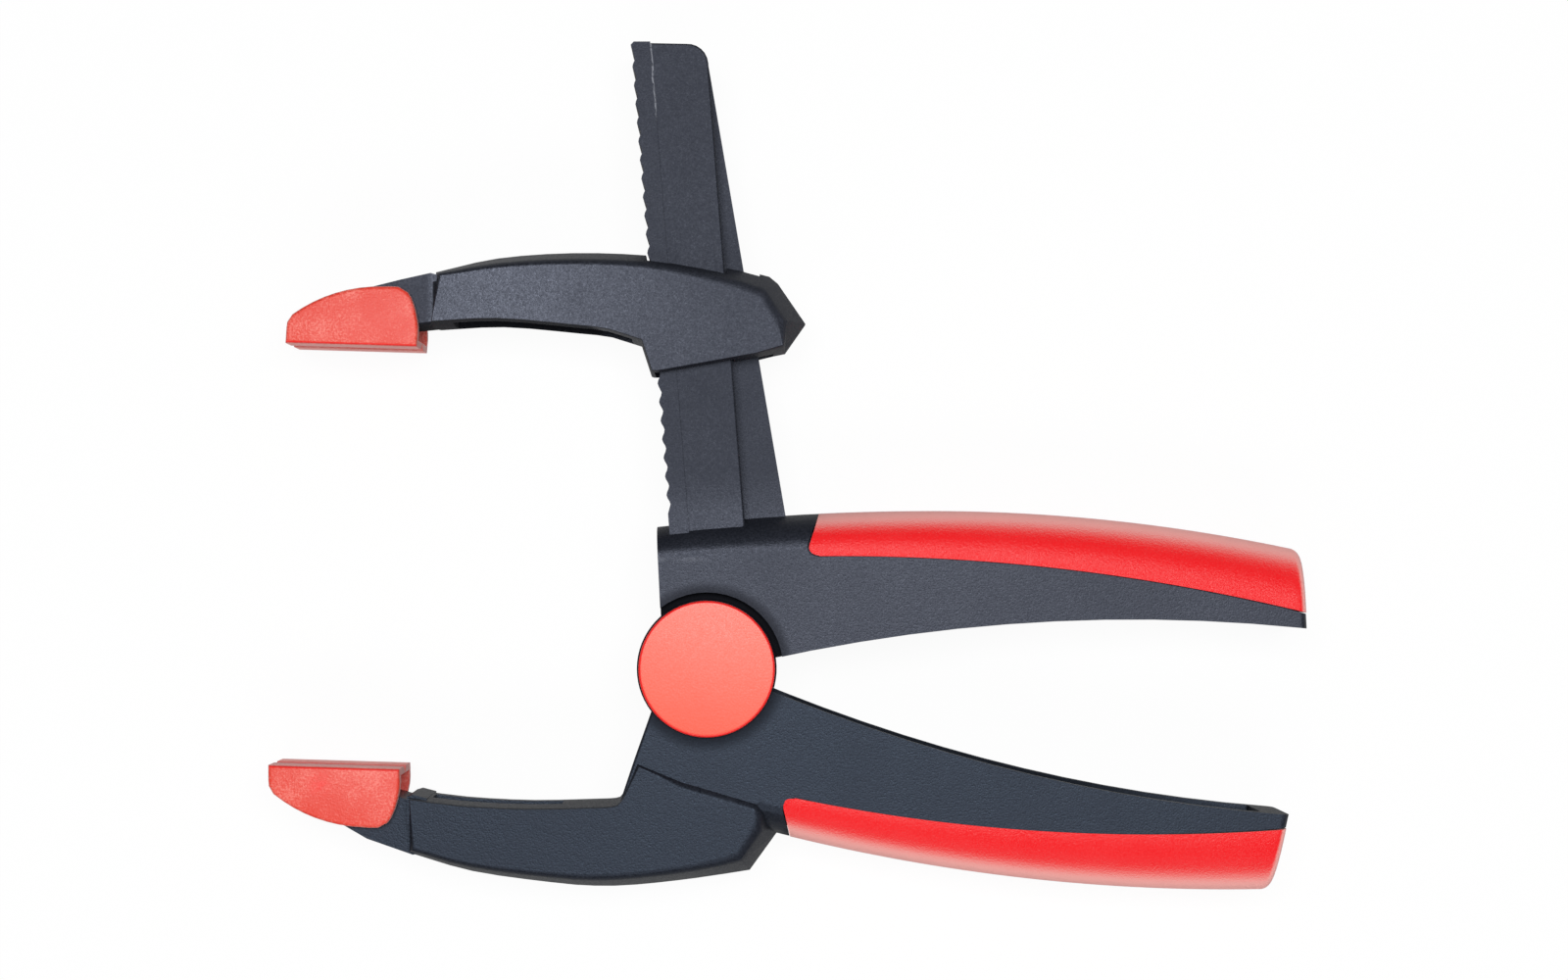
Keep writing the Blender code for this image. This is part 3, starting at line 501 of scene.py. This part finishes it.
def grid_mesh(name, points, flip=False):
    """Mesh over rings of points in millimetres, each ring closed, with the poles merged."""
    rows, columns = points.shape[:2]
    index = np.arange(rows * columns).reshape(rows, columns)
    index = np.column_stack([index, index[:, 0]])
    quads = np.stack([index[:-1, :-1], index[:-1, 1:], index[1:, 1:], index[1:, :-1]], -1)
    if flip:
        quads = quads[..., ::-1]
    mesh = bpy.data.meshes.new(name)
    mesh.from_pydata((points.reshape(-1, 3) * MM).tolist(), [], quads.reshape(-1, 4).tolist())
    return cleaned(mesh, lambda form: bmesh.ops.remove_doubles(form, verts=form.verts, dist=WELD))


def round_angles(steps):
    """Even angles once round."""
    return np.linspace(0, 2 * np.pi, steps + 1)[:-1]


def column(*parts):
    """Numbers one after the other, as one column."""
    return np.concatenate(parts)[:, None]


def bow(x, curve):
    """Arch: the apex's height plus the square of the distance from it over twice the radius."""
    (apex_x, apex_y), (before, after) = curve
    radius = np.where(x < apex_x, before, after)
    return apex_y + (x - apex_x) ** 2 / (2 * radius)


def nose_place(nose, y):
    """How far along the handle the grip begins at a height: a straight line, then an eased corner."""
    top, start, corner, stop = np.array(nose)
    t = np.linspace(0, 1, NOSE_STEPS)[:, None]
    curve = (1 - t) ** 2 * start + 2 * t * (1 - t) * corner + t**2 * stop
    line = np.vstack([top, curve])
    order = np.argsort(line[:, 1])
    return np.interp(y, line[order, 1], line[order, 0])


def half_profile():
    """Two shares from the seam to the middle plane: round the crown, and across its flat top."""
    crown = np.concatenate([np.linspace(0, 1, CROWN_STEPS) ** CROWN_CROWDING, np.ones(FLAT_STEPS)])
    across = np.concatenate([np.zeros(CROWN_STEPS), np.linspace(0, 1, FLAT_STEPS + 1)[1:]])
    return crown, across


def grip_points(handle, rows=90, bends=10, ends=7):
    """Closed rings of a grip from its nose to its end: over the outer face, and back on the inner one.

    The section is a quarter of a superellipse: its height goes with the sine of the turn and its depth
    with the cosine, each to the power of 2 over CROWN_POWER. Near the end the back drops by a quarter
    circle, and the end face then runs down to the seam. The inner face is the same, less the thickness.
    """
    crown, across = half_profile()
    turn = crown * np.pi / 2
    lift = np.sin(turn) ** (2 / CROWN_POWER)
    reach = np.maximum(np.cos(turn), 0) ** (2 / CROWN_POWER)
    up, first, end, nose = handle["up"], handle["first"], handle["end"], handle["nose"]
    bend = np.linspace(0, np.pi / 2, bends + 1)[1:]
    straight = end + PROUD - END_CORNER
    whole = np.full(ends, END_CORNER)
    share = column(np.linspace(0, 1, rows), np.ones(bends + ends))
    past = column(np.zeros(rows), END_CORNER * np.sin(bend), whole)
    drop = column(np.zeros(rows), END_CORNER * (1 - np.cos(bend)), whole)
    narrow = drop * END_ROUND / END_CORNER
    fall = column(np.ones(rows + bends), np.linspace(1, 0, ends + 1)[1:])

    def section(x, inset):
        run = (x - first) / (end - first)
        back, foot = bow(x, handle["back"]), bow(x, handle["foot"])
        seam = bow(x, handle["seam"]) - up * SEAM_COVER
        height, low = np.abs(back - foot), np.abs(seam - foot)
        depth = CROWN_FLAT * (1 - across) + (HALF + PROUD - inset - narrow - CROWN_FLAT) * reach
        rise = low + (height - drop - inset - low) * lift * fall
        at_first, at_end = handle["lean"]
        lean = (at_first + (at_end - at_first) * run) * (1 - rise / height)
        return x + lean, foot + up * rise, depth

    def face(inset):
        guess = section(np.full((len(share), 1), nose_place(nose, nose[2][1])), inset)[1]
        begin = nose_place(nose, guess[:1]) - SEAM_COVER
        along = np.minimum(begin + (straight - begin) * share + past, end + PROUD - inset)
        x, y, z = section(along, inset)
        front = np.stack([x, y, MIDDLE + z], -1)
        rear = np.stack([x, y, MIDDLE - z], -1)[:, -2::-1]
        return np.concatenate([front, rear], 1)

    outer, inner = face(0.0), face(GRIP_THICK)
    rings = np.concatenate([outer, inner[:, ::-1]], 1)
    closed = np.concatenate([inner, inner[:, ::-1]], 1)
    return np.concatenate([closed[:1], rings, closed[-1:]])


def cap_points(rear):
    """Cap turned about the pivot: face with a slight dome, tight round edge, side, underside and plug.

    The dome falls with the square of the radius, and the edge is a quarter circle.
    """
    flat = CAP_RADIUS - CAP_EDGE
    turn = np.linspace(0, np.pi / 2, EDGE_STEPS + 1)
    face = np.linspace(0, flat, FACE_RINGS)
    plug_end = CAP_THICK - PLUG_REACH
    radius = np.concatenate([face, flat + CAP_EDGE * np.sin(turn)[1:],
                             [CAP_RADIUS, PLUG_RADIUS, PLUG_RADIUS, 0.0]])
    height = np.concatenate([CAP_THICK - CAP_DOME * (face / flat) ** 2,
                             CAP_THICK - CAP_DOME - CAP_EDGE * (1 - np.cos(turn))[1:],
                             [0.0, 0.0, plug_end, plug_end]])
    angle = round_angles(CAP_SIDES)
    z = CAP_THICK - height if rear else 2 * MIDDLE - CAP_THICK + height
    return np.stack([np.outer(radius, np.cos(angle)), np.outer(radius, np.sin(angle)),
                     np.repeat(z[:, None], len(angle), 1)], -1)


def spring_path():
    """Middle line of the wire: a straight leg, the helix, and a straight leg, at even steps."""
    reach = np.array(LEG_REACH)
    ends = [np.array([LEG_REACH, bow(reach, handle["back"]) - handle["up"] * LEG_GAP])
            for handle in (UPPER, LOWER)]
    angles = []
    for place, side in zip(ends, (1, -1)):
        lead = np.arccos(COIL_RADIUS / np.hypot(*place))
        angles.append(np.arctan2(place[1], place[0]) + side * lead)
    first, last = angles[0], angles[1] + 2 * np.pi
    more = np.floor(COIL_ROOM / COIL_PITCH - (last - first) / (2 * np.pi))
    last += 2 * np.pi * max(0, more)
    rise = COIL_PITCH * (last - first) / (2 * np.pi)
    turn = np.linspace(first, last, COIL_STEPS)
    share = (turn - first) / (last - first)
    coil = np.column_stack([COIL_RADIUS * np.cos(turn), COIL_RADIUS * np.sin(turn),
                            rise * (0.5 - share)])
    legs = [np.linspace([*place, height], coil[end], LEG_STEPS, endpoint=False)
            for place, height, end in zip(ends, (rise / 2, -rise / 2), (0, -1))]
    return np.vstack([legs[0], coil, legs[1][::-1]]) + (0, 0, MIDDLE), rise


def tube_points(path, radius):
    """Round tube: at each place on the path a circle across its direction, closed at both ends."""
    direction = np.gradient(path, axis=0)
    direction /= np.linalg.norm(direction, axis=1)[:, None]
    over = np.array([0, 0, 1]) - direction * direction[:, 2:]
    over /= np.linalg.norm(over, axis=1)[:, None]
    across = np.cross(direction, over)
    angle = round_angles(WIRE_SIDES)[:, None]
    circle = over[:, None] * np.cos(angle) + across[:, None] * np.sin(angle)
    body = path[:, None] + radius * circle
    tips = [[path[end] + circle[end] * radius * share - direction[end] * inwards * radius * reach
             for share, reach in WIRE_TIP]
            for end, inwards in ((0, 1), (-1, -1))]
    return np.concatenate([tips[0], body, tips[1][::-1]])


# Pieces

def welded(node):
    """Surface of a CAD node with the corners of its loose triangles joined, and flat faces merged."""
    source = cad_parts[node].data
    places = np.zeros(len(source.vertices) * 3, np.float32)
    source.vertices.foreach_get("co", places)
    corners = np.zeros(len(source.loops), np.int32)
    source.loops.foreach_get("vertex_index", corners)
    points, first = np.unique(places.reshape(-1, 3).round(PLACES_KEPT), axis=0, return_inverse=True)
    faces = first.ravel()[corners].reshape(-1, 3)
    mesh = bpy.data.meshes.new(node + "_surface")
    mesh.from_pydata(points.tolist(), [], faces.tolist())
    return cleaned(mesh, lambda form: bmesh.ops.dissolve_limit(
        form, angle_limit=FLAT_WITHIN, verts=form.verts, edges=form.edges))


def shown(name, data):
    """New object in the scene."""
    thing = bpy.data.objects.new(name, data)
    bpy.context.scene.collection.objects.link(thing)
    return thing


def placed(mesh, node, material, sharp=SHARP):
    """Puts a finished surface in place of a CAD node."""
    mesh.shade_smooth()
    mesh.set_sharp_from_angle(angle=np.radians(sharp))
    mesh.materials.clear()
    mesh.materials.append(material)
    piece = shown(node + "_finished", mesh)
    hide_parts(node)
    return piece


def broken_edges(piece):
    """Small rounds on the sharp edges, with the flat faces kept flat."""
    broken = piece.modifiers.new("broken edges", "BEVEL")
    broken.width = BEVEL * MM
    broken.segments = 2
    broken.limit_method = "ANGLE"
    broken.angle_limit = np.radians(SHARP)
    broken.miter_outer = "MITER_ARC"
    flat = piece.modifiers.new("flat faces", "WEIGHTED_NORMAL")
    flat.mode = "FACE_AREA"
    flat.weight = 100
    flat.keep_sharp = True


def plastics():
    """The dark mouldings, each with its body and material."""
    lower = moulded_plastic("lower_body_plastic", gloss=0.25, tint=SLATE_TINT, speckle=0.9,
                            painted_shade=channel_shade)
    upper = moulded_plastic("upper_body_plastic", gloss=0.33, tint=CHARCOAL_TINT, speckle=0.8,
                            scuffs=0.15, marks=crown_rub, painted_shade=pivot_recess_shade, dull=rail_dullness)
    slider = moulded_plastic("sliding_jaw_plastic", gloss=0.53, tint=CHARCOAL_TINT, speckle=0.9,
                             painted_shade=underside_shade, dull=jaw_dullness)
    return {"lower_body": ("lower", lower), "upper_body": ("upper", upper),
            "sliding_jaw": ("slider", slider)}


def reds():
    """The pads, each with its place on the gripping face and the side that this face looks to."""
    faces = {"lower_pad": (-62.318, -16.443, 1), "upper_pad": (-59.44, 54.21, -1)}
    return {node: (node, soft_red(node + "_red", CORAL, CORAL_PALE, grain_size=2600, depth=0.08,
                                  gloss=0.4, roughness=0.42, sheen=0.3, weave=0.04,
                                  painted_sheen=(0.6, 0.9), rim=pad_edge_shade(*face)))
            for node, face in faces.items()}


def steels():
    """The pivot's tube and the pads' pins, each with its body and material."""
    return {
        "pivot_tube": ("lower", drawn_steel("pivot_tube_steel")),
        "upper_pad_pin": ("slider", drawn_steel("upper_pin_steel")),
        "lower_pad_pin": ("lower", drawn_steel("lower_pin_steel")),
    }


def solid_pieces():
    """Gives their finish to the rigid pieces that keep the solids' form."""
    for node, (body, material) in {**plastics(), **reds(), **steels()}.items():
        piece = placed(welded(node), node, material)
        if not node.endswith("pad"):
            broken_edges(piece)
        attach(piece, body)


def grips():
    """The soft covers over both handles."""
    for node, body, handle in (("upper_grip", "upper", UPPER), ("lower_grip", "lower", LOWER)):
        material = soft_red(node + "_rubber", RED, RED_PALE, grain_size=3000, depth=0.08,
                            gloss=0.14, roughness=0.26, sheen=0.3, painted_sheen=(0.11, 0.50))
        mesh = grid_mesh(node, grip_points(handle), handle["up"] > 0)
        piece = placed(mesh, node, material, GRIP_SHARP)
        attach(piece, body)


def caps():
    """The round covers over both ends of the pivot."""
    for node, rear in (("front_cap", False), ("rear_cap", True)):
        material = soft_red(node + "_red", CAP_RED, CAP_PALE, grain_size=3200, depth=0.02,
                            gloss=0.42, roughness=0.36, rim=cap_edge_shade)
        piece = placed(grid_mesh(node, cap_points(rear), not rear), node, material)
        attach(piece, "lower")


def spring():
    """The wire, whose front leg lies along the upper handle and whose rear leg along the lower one."""
    path, rise = spring_path()
    mesh = grid_mesh("torsion_spring", tube_points(path, WIRE / 2))
    piece = placed(mesh, "torsion_spring", drawn_steel("spring_steel"), WIRE_SHARP)
    reach = (rise - WIRE) / 2
    (MIDDLE - reach) * MM
    (MIDDLE + reach) * MM
    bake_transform(piece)


# Studio

def floor():
    """Pale sheet under the clamp. It shows white to the camera and keeps a soft shadow."""
    finish = Finish("floor_sheet")
    finish.surface(Base_Color=solid(SHEET_GREY), Roughness=0.9, Specular_IOR_Level=0.0)
    rays = finish.add("ShaderNodeLightPath", {}, []).socket.node.outputs
    seen, mirrored = Value(finish, rays["Is Camera Ray"]), Value(finish, rays["Is Glossy Ray"])
    white = finish.blend(mirrored, solid(WHITE), solid(MIRRORED_GREY))
    finish.cover(seen * SHEET_WHITE + mirrored, Base_Color=solid(BLACK), Specular_IOR_Level=0.0,
                 Emission_Color=white, Emission_Strength=1.0)
    mesh = bpy.data.meshes.new("floor")
    corners = [(x * SHEET_HALF, y * SHEET_HALF, 0) for x, y in ((-1, -1), (1, -1), (1, 1), (-1, 1))]
    mesh.from_pydata(corners, [], [(0, 1, 2, 3)])
    mesh.materials.append(finish.material)
    sheet = shown("floor", mesh)


def soft_lamp(name, place, aim, width, height, power):
    """Rectangular soft box at a place, facing a point."""
    lamp = bpy.data.lights.new(name, "AREA")
    lamp.shape = "RECTANGLE"
    lamp.size = width
    lamp.size_y = height
    lamp.energy = power
    holder = shown(name, lamp)
    holder.location = place
    direction = Vector(np.subtract(aim, place))
    holder.rotation_euler = direction.to_track_quat("-Z", "Y").to_euler()


def sky():
    """White where the camera sees it, and a faint light on the clamp."""
    world = bpy.data.worlds.new("studio")
    world.use_nodes = True
    nodes, links = world.node_tree.nodes, world.node_tree.links
    nodes["Background"].inputs["Color"].default_value = solid(WHITE)
    path = nodes.new("ShaderNodeLightPath")
    level = nodes.new("ShaderNodeMapRange")
    level.inputs["To Min"].default_value = AMBIENT
    level.inputs["To Max"].default_value = 1.0
    links.new(path.outputs["Is Camera Ray"], level.inputs["Value"])
    links.new(level.outputs["Result"], nodes["Background"].inputs["Strength"])
    bpy.context.scene.world = world


def studio():
    """Floor, lamps and sky."""
    floor()
    for lamp in LAMPS:
        soft_lamp(*lamp)
    sky()
    bpy.context.scene.view_settings.view_transform = "Standard"


def camera():
    """Looks straight down on the clamp, with a slight shift for the framing."""
    lens = bpy.data.cameras.new("camera")
    lens.sensor_width = FILM_WIDTH
    lens.lens = FOCAL_LENGTH
    lens.shift_x, lens.shift_y = CAMERA_SHIFT
    holder = shown("camera", lens)
    holder.location = CAMERA_PLACE
    bpy.context.scene.camera = holder


solid_pieces()
grips()
caps()
spring()
studio()
camera()
